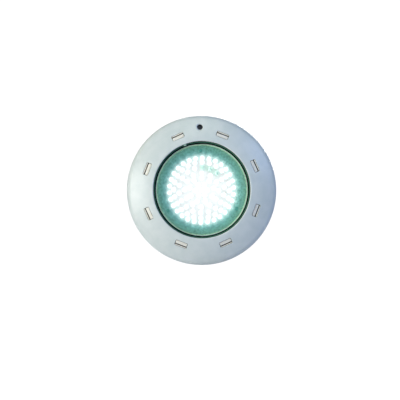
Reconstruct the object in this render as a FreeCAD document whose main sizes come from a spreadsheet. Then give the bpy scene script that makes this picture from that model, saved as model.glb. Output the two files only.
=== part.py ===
import FreeCAD, Part
import math
import os
import re

import Sketcher
from FreeCAD import Placement, Rotation, Vector

# Round underwater pool light, hung on a wall bracket.
#
# Row frame: +Z up, the front faces -Y, the wall is the plane y = 0 and the origin is the
# centre of the bracket's back face.  Every piece is drawn lying down, as it would lie on a
# bench with its front upwards: x to the right, y to the top of the light, z from the wall to
# the front.  STAND_UP then turns the bench so that the light hangs on the wall.

DIMENSIONS = {
    # face ring: a shallow dome between the lens and the rounded rim
    "rim_radius": 145,
    "rim_back": 7,
    "opening_radius": 93.4,
    "crest_radius": 95,
    "crest_height": 65,
    "shell": 3,
    "dome_start": 14.5,
    "dome_end": 30.5,
    "rim_round": 16,
    "lip_height": 61.5,
    "lip_round": 1.6,
    # windows and the snap hooks that show in them
    "window_ring": 112,
    "window_long": 24.5,
    "window_wide": 10.4,
    "window_corner": 2,
    "hook_long": 22.7,
    "hook_inner": 107.3,
    "hook_slit_inner": 113,
    "hook_slit_outer": 115,
    "hook_outer": 116.7,
    "hook_top_inner": 60.2,
    "hook_top_outer": 58.2,
    "root_top_inner": 57.5,
    "root_top_outer": 56.9,
    "lug_top": 53,
    # lock screw at the top of the light
    "lock_ring": 121,
    "lock_bore": 5.3,
    "lock_mouth": 7,
    "lock_tube": 8.5,
    "lock_floor": 25,
    "lock_floor_thick": 3,
    "lock_through": 3,
    "lock_shank": 2.5,
    "lock_tip": 6,
    "lock_head": 4.7,
    "lock_head_tall": 4.7,
    "washer_radius": 5,
    "washer_thick": 1.2,
    # rear housing
    "house_inner": 87.5,
    "house_outer": 90.5,
    "house_back": 20,
    "house_floor": 23,
    "flange_radius": 106,
    "flange_low": 46,
    "flange_top": 50,
    # lens, gasket and clamp ring
    "lens_radius": 92,
    "lens_flat": 88,
    "lens_low": 52,
    "lens_high": 57,
    "lens_rise": 5,
    "gasket_inner": 88.5,
    "gasket_outer": 95,
    "gasket_top": 59,
    "clamp_top": 61,
    "clamp_lip": 92.3,
    "clamp_ring_bolts": 101,
    # light source
    "sink_low": 31.5,
    "sink_top": 33.5,
    "sink_radius": 82,
    "board_low": 34,
    "board_top": 35.6,
    "board_radius": 86,
    "post_ring": 74,
    "led_radius": 4,
    "led_skirt": 2.2,
    "led_ring_a": 62.5,
    "led_ring_b": 54,
    "led_ring_c": 44,
    "led_ring_d": 33,
    "led_ring_e": 23.5,
    "led_ring_f": 11.5,
    "trim_inner": 67.5,
    "trim_outer": 87.2,
    "rivet_ring": 76,
    "rivet_radius": 3.6,
    "rivet_top": 44.4,
    # driver electronics behind the heat sink
    "driver_low": 24,
    "driver_top": 25.6,
    # wall bracket
    "plate_thick": 4,
    "plate_radius": 78,
    "cable_hole": 30,
    "wall_screw_circle": 130,
    "wall_screw_hole": 2.75,
    "arm_half": 13,
    "boss_radius": 9,
    "boss_top": 21,
    "insert_radius": 5,
    "insert_bore": 3,
    # pivot at the bottom of the bracket
    "pivot_drop": 116,
    "pivot_out": 15,
    "pin_radius": 2.5,
    "pin_half": 46,
    "hook_gap": 0.1,
    "cradle_near": 26,
    "cradle_far": 34,
    "ear_near": 37,
    "ear_far": 42,
    # cable gland in the housing's back wall
    "gland_radius": 8,
    "gland_bore": 4.5,
    "seal_bore": 4,
    "seal_radius": 6,
    "gland_end": 9,
    "seal_end": 14,
}

STAND_UP = Placement(Vector(0, 0, 0), Rotation(Vector(1, 0, 0), 90))

doc = FreeCAD.newDocument("PoolLight")
dims = doc.addObject("Spreadsheet::Sheet", "dims")
for row, (alias, size) in enumerate(DIMENSIONS.items(), start=1):
    dims.set(f"A{row}", alias.replace("_", " "))
    dims.set(f"B{row}", str(size))
    dims.setAlias(f"B{row}", alias)
doc.recompute()

PIECES = []


def full(expression):
    """The expression with every dimension's name given its sheet."""
    def with_sheet(match):
        word = match.group(0)
        return f"dims.{word}" if word in DIMENSIONS else word
    return re.sub(r"[a-z_]+", with_sheet, str(expression))


def number(expression):
    """The value in millimetres of an expression of the sheet's dimensions."""
    return float(dims.evalExpression(full(expression)))


def origin_feature(body, role):
    return next(item for item in body.Origin.OriginFeatures if item.Role == role)


def new_body(label, turn=0):
    """An empty body, stood up with the light and turned about the light's own axis."""
    body = doc.addObject("PartDesign::Body", label)
    body.Label = label
    body.Placement = STAND_UP * Placement(Vector(0, 0, 0), Rotation(Vector(0, 0, 1), turn))
    PIECES.append(body)
    return body


def new_sketch(body, name, role="XY_Plane", lift=0, turn=0, aside=0):
    """A sketch on one of the body's own planes.  lift moves it off the plane, turn turns it
    in the plane and aside moves it along its own first direction."""
    sketch = body.newObject("Sketcher::SketchObject", name)
    sketch.AttachmentSupport = (origin_feature(body, role), [""])
    sketch.MapMode = "FlatFace"
    sketch.AttachmentOffset = Placement(Vector(0, 0, 0), Rotation(Vector(0, 0, 1), turn))
    sketch.setExpression("AttachmentOffset.Base.z", full(lift))
    sketch.setExpression("AttachmentOffset.Base.x", full(aside))
    return sketch


def pin_point(sketch, geometry, end, x, y):
    """Fix one point of the sketch at a place given by two expressions."""
    for kind, axis, where in (("DistanceX", -2, x), ("DistanceY", -1, y)):
        value = number(where)
        if abs(value) < 1e-9:
            sketch.addConstraint(Sketcher.Constraint("PointOnObject", geometry, end, axis))
            continue
        name = f"{kind[-1].lower()}{geometry}_{end}"
        index = sketch.addConstraint(Sketcher.Constraint(kind, -1, 1, geometry, end, value))
        sketch.renameConstraint(index, name)
        sketch.setExpression(f"Constraints.{name}", full(where))


def arc_between(start, finish, radius):
    """The arc from start to finish.  It turns left where the radius is positive and right
    where it is negative.  Also says which of its ends is the start."""
    chord = finish - start
    reach = math.sqrt(max(radius ** 2 - (chord.Length / 2) ** 2, 0))
    left = Vector(-chord.y, chord.x, 0).normalize()
    side = 1 if radius > 0 else -1
    centre = start + chord * 0.5 + left * (reach * side)
    circle = Part.Circle(centre, Vector(0, 0, 1), abs(radius))
    first, second = (start, finish) if radius > 0 else (finish, start)
    angle_a = math.atan2(first.y - centre.y, first.x - centre.x)
    angle_b = math.atan2(second.y - centre.y, second.x - centre.x)
    if angle_b < angle_a:
        angle_b += 2 * math.pi
    return Part.ArcOfCircle(circle, angle_a, angle_b), (1 if radius > 0 else 2)


def outline(sketch, points):
    """Close a loop through the points.  Each is (x, y), or (x, y, radius) where the way to
    the next point is an arc.  Every point and radius is bound to the sheet."""
    places = [Vector(number(p[0]), number(p[1]), 0) for p in points]
    first_geometry = sketch.GeometryCount
    starts = []
    for index, point in enumerate(points):
        here = places[index]
        there = places[(index + 1) % len(points)]
        if len(point) == 2:
            sketch.addGeometry(Part.LineSegment(here, there))
            starts.append(1)
            continue
        arc, start_end = arc_between(here, there, number(point[2]))
        sketch.addGeometry(arc)
        starts.append(start_end)
    for index, point in enumerate(points):
        geometry = first_geometry + index
        after = first_geometry + (index + 1) % len(points)
        finish_end = 3 - starts[index]
        next_start = starts[(index + 1) % len(points)]
        sketch.addConstraint(
            Sketcher.Constraint("Coincident", geometry, finish_end, after, next_start))
        if len(point) == 3:
            name = f"radius{geometry}"
            value = abs(number(point[2]))
            index_r = sketch.addConstraint(Sketcher.Constraint("Radius", geometry, value))
            sketch.renameConstraint(index_r, name)
            sketch.setExpression(f"Constraints.{name}", f"abs({full(point[2])})")
    for index, point in enumerate(points):
        pin_point(sketch, first_geometry + index, starts[index], point[0], point[1])


def ring(sketch, x, y, radius):
    """A circle at (x, y)."""
    place = Vector(number(x), number(y), 0)
    index = sketch.addGeometry(Part.Circle(place, Vector(0, 0, 1), number(radius)))
    pin_point(sketch, index, 3, x, y)
    name = f"radius{index}"
    constraint = sketch.addConstraint(Sketcher.Constraint("Radius", index, number(radius)))
    sketch.renameConstraint(constraint, name)
    sketch.setExpression(f"Constraints.{name}", full(radius))


def rectangle(sketch, x_low, y_low, x_high, y_high):
    outline(sketch, [(x_low, y_low), (x_high, y_low), (x_high, y_high), (x_low, y_high)])


def revolve(body, name, points, aside=0, cut=False):
    """Turn a closed profile of (radius, height) points about the upright axis of its own
    sketch, which stands aside from the body's axis."""
    sketch = new_sketch(body, f"{name}_profile", "XZ_Plane", aside=aside)
    outline(sketch, points)
    kind = "PartDesign::Groove" if cut else "PartDesign::Revolution"
    before = 0 if body.Tip is None else body.Shape.Volume
    feature = body.newObject(kind, name)
    feature.Profile = sketch
    feature.ReferenceAxis = (sketch, ["V_Axis"])
    feature.Angle = 360
    doc.recompute()
    if cut:
        assert feature.Shape.Volume < before - 0.01, f"{name} removes nothing"
    return feature


def pad(body, name, sketch, length, both_ways=False):
    feature = body.newObject("PartDesign::Pad", name)
    feature.Profile = sketch
    if both_ways:
        feature.SideType = "Symmetric"
    feature.setExpression("Length", full(length))
    doc.recompute()
    return feature


def pocket(body, name, sketch, length, both_ways=True, upward=False):
    """Cut the sketch into the body, by default by half of the length on either side."""
    before = body.Shape.Volume
    feature = body.newObject("PartDesign::Pocket", name)
    feature.Profile = sketch
    if both_ways:
        feature.SideType = "Symmetric"
    feature.Reversed = upward
    feature.setExpression("Length", full(length))
    doc.recompute()
    assert feature.Shape.Volume < before - 0.01, f"{name} removes nothing"
    return feature


def polar(body, name, originals, count, span=360):
    """Repeat features about the light's axis."""
    feature = body.newObject("PartDesign::PolarPattern", name)
    feature.Originals = originals
    feature.Axis = (origin_feature(body, "Z_Axis"), [""])
    feature.Angle = span
    feature.Occurrences = count
    body.Tip = feature
    doc.recompute()
    return feature


def mirrored(body, name, originals, role="YZ_Plane"):
    feature = body.newObject("PartDesign::Mirrored", name)
    feature.Originals = originals
    feature.MirrorPlane = (origin_feature(body, role), [""])
    body.Tip = feature
    doc.recompute()
    return feature


def turned_piece(label, points):
    """A piece that is one turned profile about the light's axis."""
    body = new_body(label)
    revolve(body, f"{label}_turn", points)
    return body


def turned_group(label, points, circle, count, start=0, span=360):
    """Separate equal turned solids, spaced round a circle about the light's axis."""
    body = new_body(label, turn=start)
    single = revolve(body, f"{label}_turn", points, aside=circle)
    if count > 1:
        polar(body, f"{label}_ring", [single], count, span)
    return body


# ---------------------------------------------------------------- wall bracket (fixed)

def make_wall_bracket():
    """Moulded plate with a hole for the cable, four wall screws, a boss for the lock screw
    at the top and two open cradles for the pivot pin at the bottom."""
    body = new_body("wall_bracket")
    plate = new_sketch(body, "plate_outline")
    ring(plate, 0, 0, "plate_radius")
    pad(body, "plate", plate, "plate_thick")

    arm = new_sketch(body, "arm_outline")
    rectangle(arm, "-arm_half", "0", "arm_half", "lock_ring + boss_radius")
    pad(body, "arm", arm, "plate_thick")
    foot = new_sketch(body, "foot_outline")
    rectangle(foot, "-cradle_far - 4", "-pivot_drop - 9", "cradle_far + 4", "0")
    pad(body, "foot", foot, "plate_thick")
    boss = new_sketch(body, "boss_outline")
    ring(boss, 0, "lock_ring", "boss_radius")
    pad(body, "boss", boss, "boss_top")

    # two webs tie the boss to the arm, and a low rib stiffens the plate's edge
    web = new_sketch(body, "web_outline", "YZ_Plane")
    outline(web, [("plate_radius", "plate_thick - 1"),
                  ("lock_ring - 6", "plate_thick - 1"),
                  ("lock_ring - 6", "boss_top - 4"),
                  ("lock_ring - 10", "boss_top - 4")])
    pad(body, "web", web, "4", both_ways=True)
    revolve(body, "edge_rib", [("plate_radius - 3", "plate_thick - 1"),
                               ("plate_radius", "plate_thick - 1"),
                               ("plate_radius", "plate_thick + 4"),
                               ("plate_radius - 3", "plate_thick + 4")])

    # cradles: a cheek in front of and behind the pin, open at the top
    slot = "(pin_radius + hook_gap)"
    cradle = new_sketch(body, "cradle_outline", "YZ_Plane", lift="cradle_near")
    outline(cradle, [
        ("-pivot_drop + 9", "plate_thick - 1"),
        ("-pivot_drop + 9", f"pivot_out - {slot}"),
        ("-pivot_drop", f"pivot_out - {slot}", f"-{slot}"),
        (f"-pivot_drop - {slot}", "pivot_out", f"-{slot}"),
        ("-pivot_drop", f"pivot_out + {slot}"),
        ("-pivot_drop + 6", f"pivot_out + {slot}"),
        ("-pivot_drop + 6", "pivot_out + 6.5"),
        ("-pivot_drop - 7", "pivot_out + 6.5"),
        ("-pivot_drop - 7", "plate_thick - 1"),
    ])
    right = pad(body, "cradle", cradle, "cradle_far - cradle_near")
    mirrored(body, "cradles", [right])

    hole = new_sketch(body, "cable_outline")
    ring(hole, 0, 0, "cable_hole")
    pocket(body, "cable_way", hole, "20 * plate_thick")
    screw = new_sketch(body, "screw_outline", turn=45)
    ring(screw, "wall_screw_circle / 2", 0, "wall_screw_hole")
    first = pocket(body, "screw_hole", screw, "20 * plate_thick")
    polar(body, "screw_holes", [first], 4)
    seat = new_sketch(body, "insert_outline")
    ring(seat, 0, "lock_ring", "insert_radius")
    pocket(body, "insert_seat", seat, "4 * boss_top")
    return body


def make_bracket_insert():
    """Brass insert for the lock screw, moulded into the boss.  Its thread is a plain bore."""
    body = new_body("bracket_insert")
    outer = new_sketch(body, "insert_rings")
    ring(outer, 0, "lock_ring", "insert_radius")
    ring(outer, 0, "lock_ring", "insert_bore")
    pad(body, "insert", outer, "boss_top")
    return body


# ------------------------------------------------------------- face ring and its fixings

DOME_END_R = "(rim_radius - rim_round * (1 - sin(dome_end * 1 deg)))"
DOME_RUN = f"({DOME_END_R} - crest_radius)"
DOME_MID = "((dome_start + dome_end) / 2 * 1 deg)"
DOME_HALF = "((dome_end - dome_start) / 2 * 1 deg)"
DOME_END_Z = f"(crest_height - {DOME_RUN} * tan{DOME_MID})"
DOME_RADIUS = f"({DOME_RUN} / cos{DOME_MID} / (2 * sin{DOME_HALF}))"
RIM_TOP_Z = f"({DOME_END_Z} - rim_round * cos(dome_end * 1 deg))"
INNER_END_R = f"({DOME_END_R} - shell * sin(dome_end * 1 deg))"
INNER_END_Z = f"({DOME_END_Z} - shell * cos(dome_end * 1 deg))"
INNER_CREST_R = "(crest_radius - shell * sin(dome_start * 1 deg))"
INNER_CREST_Z = "(crest_height - shell * cos(dome_start * 1 deg))"


def make_face_ring():
    """Domed ring with a rounded rim, eight windows round it, a countersunk hole for the lock
    screw and a small locating tab on its inner edge."""
    body = new_body("face_ring")
    revolve(body, "shell", [
        ("opening_radius", "lip_height"),
        ("opening_radius", "crest_height - lip_round", "-lip_round"),
        ("crest_radius", "crest_height", f"-{DOME_RADIUS}"),
        (DOME_END_R, DOME_END_Z, "-rim_round"),
        ("rim_radius", RIM_TOP_Z),
        ("rim_radius", "rim_back"),
        ("rim_radius - shell", "rim_back"),
        ("rim_radius - shell", RIM_TOP_Z, "(rim_round - shell)"),
        (INNER_END_R, INNER_END_Z, f"{DOME_RADIUS} - shell"),
        (INNER_CREST_R, INNER_CREST_Z),
    ])
    half_long = "window_long / 2"
    half_wide = "window_wide / 2"
    window = new_sketch(body, "window_outline", lift="lug_top", turn=22.5)
    outline(window, [
        (f"window_ring - {half_wide} + window_corner", f"-{half_long}"),
        (f"window_ring + {half_wide} - window_corner", f"-{half_long}", "window_corner"),
        (f"window_ring + {half_wide}", f"-{half_long} + window_corner"),
        (f"window_ring + {half_wide}", f"{half_long} - window_corner", "window_corner"),
        (f"window_ring + {half_wide} - window_corner", half_long),
        (f"window_ring - {half_wide} + window_corner", half_long, "window_corner"),
        (f"window_ring - {half_wide}", f"{half_long} - window_corner"),
        (f"window_ring - {half_wide}", f"-{half_long} + window_corner", "window_corner"),
    ])
    first = pocket(body, "window", window, "40")
    polar(body, "windows", [first], 8)

    bore = new_sketch(body, "bore_outline", lift="lock_floor + 50")
    ring(bore, 0, "lock_ring", "lock_bore")
    pocket(body, "screw_bore", bore, "100")
    mouth = body.newObject("PartDesign::SubtractiveCone", "mouth")
    mouth.AttachmentSupport = (origin_feature(body, "XY_Plane"), [""])
    mouth.MapMode = "FlatFace"
    mouth.setExpression("AttachmentOffset.Base.y", full("lock_ring"))
    mouth.setExpression("AttachmentOffset.Base.z", full("crest_height - 12"))
    mouth.setExpression("Radius1", full("lock_bore - 0.5"))
    mouth.setExpression("Radius2", full("lock_mouth + 4.5"))
    mouth.Height = 10
    doc.recompute()

    tab = new_sketch(body, "tab_outline", lift="lip_height", turn=19)
    rectangle(tab, "-2.5", "opening_radius - 3", "2.5", "opening_radius + 1.5")
    pad(body, "tab", tab, "1.2")
    return body


def make_screw_sleeve():
    """Sleeve under the ring that guides the lock screw, with a floor for its washer.  Its top
    follows the underside of the dome."""
    body = new_body("screw_sleeve")
    tube = new_sketch(body, "sleeve_outline", lift="lock_floor - lock_floor_thick")
    ring(tube, 0, "lock_ring", "lock_tube")
    pad(body, "sleeve", tube, "crest_height - lock_floor")
    revolve(body, "dome_trim", [
        (INNER_CREST_R, INNER_CREST_Z, f"-{DOME_RADIUS} + shell"),
        (INNER_END_R, INNER_END_Z),
        ("rim_radius + 5", INNER_END_Z),
        ("rim_radius + 5", "crest_height + 30"),
        (INNER_CREST_R, "crest_height + 30"),
    ], cut=True)
    bore = new_sketch(body, "bore_outline", lift="lock_floor")
    ring(bore, 0, "lock_ring", "lock_bore")
    pocket(body, "sleeve_bore", bore, "100", both_ways=False, upward=True)
    through = new_sketch(body, "through_outline", lift="lock_floor")
    ring(through, 0, "lock_ring", "lock_through")
    pocket(body, "sleeve_through", through, "20")
    return body


def make_snap_hooks():
    """Eight hooks on the clamp ring's lugs.  They stand in the windows and hold the ring.  A
    slit parts each hook's springy inner lip from its outer root."""
    body = new_body("snap_hooks", turn=22.5)
    lip = new_sketch(body, "lip_outline", "XZ_Plane")
    outline(lip, [
        ("hook_inner", "lug_top"),
        ("hook_slit_inner", "lug_top"),
        ("hook_slit_inner", "hook_top_outer"),
        ("hook_inner + 0.6", "hook_top_inner"),
        ("hook_inner", "hook_top_inner - 0.6"),
    ])
    lip_pad = pad(body, "lip", lip, "hook_long", both_ways=True)
    root = new_sketch(body, "root_outline", "XZ_Plane")
    outline(root, [
        ("hook_slit_outer", "lug_top"),
        ("hook_outer", "lug_top"),
        ("hook_outer", "root_top_outer"),
        ("hook_slit_outer", "root_top_inner"),
    ])
    root_pad = pad(body, "root", root, "hook_long", both_ways=True)
    polar(body, "hooks", [lip_pad, root_pad], 8)
    return body


def make_clamp_ring():
    """Ring that presses the gasket and the lens on the housing's flange, with a counterbore
    for each of its twelve screws and a lug under each snap hook."""
    body = new_body("clamp_ring")
    revolve(body, "clamp_turn", [
        ("gasket_outer", "flange_top"),
        ("flange_radius", "flange_top"),
        ("flange_radius", "clamp_top - 3.5"),
        ("gasket_outer + 1", "clamp_top"),
        ("clamp_lip", "clamp_top"),
        ("clamp_lip", "gasket_top"),
        ("gasket_outer", "gasket_top"),
    ])
    lug = new_sketch(body, "lug_outline", lift="flange_top", turn=22.5)
    rectangle(lug, "flange_radius - 2", "-window_long / 2 - 1.5",
              "window_ring + window_wide / 2 + 0.8", "window_long / 2 + 1.5")
    first_lug = pad(body, "lug", lug, "lug_top - flange_top")
    polar(body, "lugs", [first_lug], 8)
    hole = new_sketch(body, "clamp_hole", lift="flange_top", turn=15)
    ring(hole, "clamp_ring_bolts", 0, 1.6)
    first = pocket(body, "clamp_bore", hole, "40")
    polar(body, "clamp_bores", [first], 12)
    sink = new_sketch(body, "clamp_sink", lift="clamp_top - 5.5 + 10", turn=15)
    ring(sink, "clamp_ring_bolts", 0, 3)
    second = pocket(body, "clamp_counter", sink, "20")
    polar(body, "clamp_counters", [second], 12)
    return body


def screw_profile(head_radius, shank_radius, low, seat, top):
    """Half of a pan-head screw: shank from low to seat, head from seat to top."""
    return [("0", low),
            (f"{shank_radius} * 0.6", low),
            (shank_radius, f"{low} + 1"),
            (shank_radius, seat),
            (head_radius, seat),
            (head_radius, f"{top} - 0.8"),
            (f"{head_radius} - 0.8", top),
            ("0", top)]


# ---------------------------------------------------------------------- rear housing

def make_rear_housing():
    """Moulded cup with a flange for the lens, twelve screw bosses and twelve ribs under the
    flange, posts for the driver board and two ears for the pivot pin."""
    body = new_body("rear_housing")
    revolve(body, "cup", [
        ("gland_radius", "house_back"),
        ("house_outer", "house_back"),
        ("house_outer", "flange_low"),
        ("flange_radius", "flange_low"),
        ("flange_radius", "flange_top"),
        ("house_inner", "flange_top"),
        ("house_inner", "house_floor"),
        ("gland_radius", "house_floor"),
    ])
    boss = new_sketch(body, "boss_ring", lift="flange_low - 6", turn=15)
    ring(boss, "clamp_ring_bolts", 0, 3.2)
    first_boss = pad(body, "flange_boss", boss, "7")
    polar(body, "flange_bosses", [first_boss], 12)
    rib = new_sketch(body, "rib_outline", "XZ_Plane")
    outline(rib, [("house_outer - 1", "flange_low - 14"),
                  ("house_outer + 0.5", "flange_low - 14"),
                  ("flange_radius - 3", "flange_low - 2"),
                  ("flange_radius - 3", "flange_low + 1"),
                  ("house_outer - 1", "flange_low + 1")])
    first_rib = pad(body, "flange_rib", rib, "2.4", both_ways=True)
    polar(body, "flange_ribs", [first_rib], 12)

    ear = new_sketch(body, "ear_outline", "YZ_Plane", lift="ear_near")
    outline(ear, [
        ("-79.5", "house_back"),
        ("-pivot_drop + 6", "house_back"),
        ("-pivot_drop + 6", "pivot_out - 4.5"),
        ("-pivot_drop - 5", "pivot_out - 4.5"),
        ("-pivot_drop - 5", "pivot_out + 6"),
        ("-100", "pivot_out + 19"),
        ("-79.5", "pivot_out + 19"),
    ])
    right = pad(body, "ear", ear, "ear_far - ear_near")
    mirrored(body, "ears", [right])
    eye = new_sketch(body, "eye_outline", "YZ_Plane")
    ring(eye, "-pivot_drop", "pivot_out", "pin_radius")
    pocket(body, "ear_eyes", eye, "2 * pin_half")

    posts = new_sketch(body, "driver_posts", lift="house_floor")
    for x in (24, 66):
        for y in (-16, 16):
            ring(posts, x, y, 2.5)
    pad(body, "posts", posts, "driver_low - house_floor")
    thread = new_sketch(body, "clamp_thread", lift="flange_top", turn=15)
    ring(thread, "clamp_ring_bolts", 0, 1.5)
    first_thread = pocket(body, "clamp_threads_one", thread, "18")
    polar(body, "clamp_threads", [first_thread], 12)
    return body


# ------------------------------------------------------------------- lens and gasket

def make_lens():
    """Clear domed disc with a flat edge for the gasket."""
    bend = "((lens_flat ^ 2 + lens_rise ^ 2) / (2 * lens_rise))"
    return turned_piece("lens", [
        ("0", "lens_low + lens_rise", f"-{bend}"),
        ("lens_flat", "lens_low"),
        ("lens_radius", "lens_low"),
        ("lens_radius", "lens_high"),
        ("lens_flat", "lens_high", bend),
        ("0", "lens_high + lens_rise"),
    ])


def make_gasket():
    """Rubber ring, a U in section, round the edge of the lens."""
    return turned_piece("lens_gasket", [
        ("gasket_inner", "flange_top"),
        ("gasket_outer", "flange_top"),
        ("gasket_outer", "gasket_top"),
        ("gasket_inner", "gasket_top"),
        ("gasket_inner", "lens_high"),
        ("lens_radius", "lens_high"),
        ("lens_radius", "lens_low"),
        ("gasket_inner", "lens_low"),
    ])


# --------------------------------------------------------------------- light source

LED_PROFILE = [("0", "board_top"),
               ("led_radius", "board_top"),
               ("led_radius", "board_top + led_skirt", "led_radius"),
               ("0", "board_top + led_skirt + led_radius")]


def make_leds():
    """Rings of domed lamps.  Three lamps of the third ring, at the top, stay dark."""
    turned_group("leds_outer", LED_PROFILE, "led_ring_a", 30, start=3)
    turned_group("leds_second", LED_PROFILE, "led_ring_b", 24, start=12)
    turned_group("leds_third", LED_PROFILE, "led_ring_c", 15, start=106, span=280)
    turned_group("leds_unlit", LED_PROFILE, "led_ring_c", 3, start=46, span=40)
    turned_group("leds_fourth", LED_PROFILE, "led_ring_d", 12, start=27)
    turned_group("leds_fifth", LED_PROFILE, "led_ring_e", 9, start=7)
    turned_group("leds_sixth", LED_PROFILE, "led_ring_f", 6)
    turned_group("led_centre", LED_PROFILE, "0", 1)


def make_disc(label, radius, low, top, link_hole):
    """Flat disc with four screw holes and two holes for the link pins."""
    body = new_body(label)
    disc = new_sketch(body, f"{label}_disc", lift=low)
    ring(disc, 0, 0, radius)
    pad(body, f"{label}_pad", disc, f"{top} - {low}")
    hole = new_sketch(body, f"{label}_hole", lift=low, turn=45)
    ring(hole, "post_ring", 0, 1.6)
    first = pocket(body, f"{label}_bore", hole, "20")
    polar(body, f"{label}_bores", [first], 4)
    link = new_sketch(body, f"{label}_link", lift=low)
    ring(link, 46, -5, link_hole)
    ring(link, 46, 5, link_hole)
    pocket(body, f"{label}_links", link, "20")
    return body


def make_trim_ring():
    """Cone that hides the edge of the board between the lamps and the gasket, with the three
    push rivets that hold it to the board."""
    body = turned_piece("trim_ring", [
        ("trim_inner", "board_top"),
        ("trim_inner + 1.5", "board_top"),
        ("trim_inner + 1.5", "board_top + 2.2"),
        ("trim_outer", "board_top + 11.1"),
        ("trim_outer", "board_top + 13.1"),
        ("trim_inner", "board_top + 3.6"),
    ])
    hole = new_sketch(body, "rivet_hole", lift="board_top", turn=90)
    ring(hole, "rivet_ring", 0, "rivet_radius + 0.2")
    first = pocket(body, "rivet_bore", hole, "40")
    polar(body, "rivet_bores", [first], 3)
    turned_group("trim_rivets", [
        ("0", "board_top"),
        ("rivet_radius", "board_top"),
        ("rivet_radius", "rivet_top - 1", "1"),
        ("rivet_radius - 1", "rivet_top"),
        ("0", "rivet_top"),
    ], "rivet_ring", 3, start=90)


def make_driver():
    """Driver board with its parts, and the two pins that feed the lamp board."""
    body = new_body("driver_board")
    board = new_sketch(body, "driver_outline", lift="driver_low")
    rectangle(board, 20, -20, 70, 20)
    pad(body, "driver_plate", board, "driver_top - driver_low")
    for label, box, tall in (("driver_inductor", (52, 7, 66, 17), 4.8),
                             ("driver_rectifier", (54, -8, 64, -1), 3),
                             ("terminal_block", (22, -7, 32, 7), 5.2)):
        body = new_body(label)
        base = new_sketch(body, f"{label}_outline", lift="driver_top")
        rectangle(base, *box)
        pad(body, f"{label}_block", base, tall)
    body = new_body("driver_capacitors")
    cans = new_sketch(body, "can_outline", lift="driver_top")
    for x in (38, 49, 60):
        ring(cans, x, -14, 4)
    pad(body, "cans", cans, 5.4)
    body = new_body("link_pins")
    pins = new_sketch(body, "pin_outline", lift="driver_top")
    ring(pins, 46, -5, 0.6)
    ring(pins, 46, 5, 0.6)
    pad(body, "pins", pins, "board_top - driver_top")


# ---------------------------------------------------------------------- cable gland

def make_gland():
    """Gland in the housing's back wall.  The thrust ring and the nut close on the seal."""
    turned_piece("gland_body", [
        ("seal_radius", "gland_end"),
        ("gland_radius", "gland_end"),
        ("gland_radius", "house_back - 4.6"),
        ("gland_radius + 4", "house_back - 4.6"),
        ("gland_radius + 4", "house_back - 1.6"),
        ("gland_radius", "house_back - 1.6"),
        ("gland_radius", "house_floor + 5"),
        ("gland_bore", "house_floor + 5"),
        ("gland_bore", "seal_end"),
        ("seal_radius", "seal_end"),
    ])
    turned_piece("gland_locknut", [
        ("gland_radius", "house_floor"),
        ("gland_radius + 4", "house_floor"),
        ("gland_radius + 4", "house_floor + 3.2"),
        ("gland_radius + 3.2", "house_floor + 4"),
        ("gland_radius", "house_floor + 4"),
    ])
    turned_piece("gland_oring", [
        ("gland_radius", "house_back - 1.6"),
        ("gland_radius + 2", "house_back - 1.6", "0.8"),
        ("gland_radius + 2.8", "house_back - 0.8", "0.8"),
        ("gland_radius + 2", "house_back"),
        ("gland_radius", "house_back"),
    ])
    turned_piece("gland_seal", [
        ("seal_bore", "gland_end"),
        ("seal_radius", "gland_end"),
        ("seal_radius", "seal_end"),
        ("seal_bore", "seal_end"),
    ])
    turned_piece("gland_ferrule", [
        ("gland_bore", "gland_end - 1"),
        ("seal_radius", "gland_end - 1"),
        ("seal_radius", "gland_end - 0.1"),
        ("gland_bore", "gland_end - 0.1"),
    ])
    nut = turned_piece("gland_nut", [
        ("gland_bore + 0.1", "gland_end - 2.6"),
        ("gland_radius + 2.7", "gland_end - 2.6"),
        ("gland_radius + 3.5", "gland_end - 1.8"),
        ("gland_radius + 3.5", "gland_end + 5.5"),
        ("gland_radius + 0.3", "gland_end + 5.5"),
        ("gland_radius + 0.3", "gland_end - 1.05"),
        ("gland_bore + 0.1", "gland_end - 1.05"),
    ])
    # twelve shallow notches for grip
    grip = new_sketch(nut, "grip_outline", lift="gland_end")
    ring(grip, "gland_radius + 4.6", 0, 1.6)
    first = pocket(nut, "grip", grip, "40")
    polar(nut, "grips", [first], 12)


# ------------------------------------------------------------ pivot pin and lock screw

def make_pivot():
    """Steel pin through the housing's ears, with a push-on clip at each end."""
    body = new_body("pivot_pin")
    rod = new_sketch(body, "rod_outline", "YZ_Plane")
    ring(rod, "-pivot_drop", "pivot_out", "pin_radius")
    pad(body, "rod", rod, "2 * pin_half", both_ways=True)
    body = new_body("pin_clips")
    disc = new_sketch(body, "clip_outline", "YZ_Plane", lift="ear_far")
    ring(disc, "-pivot_drop", "pivot_out", "pin_radius + 2.2")
    ring(disc, "-pivot_drop", "pivot_out", "pin_radius")
    clip = pad(body, "clip", disc, 1.5)
    mirrored(body, "clips", [clip])


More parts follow.
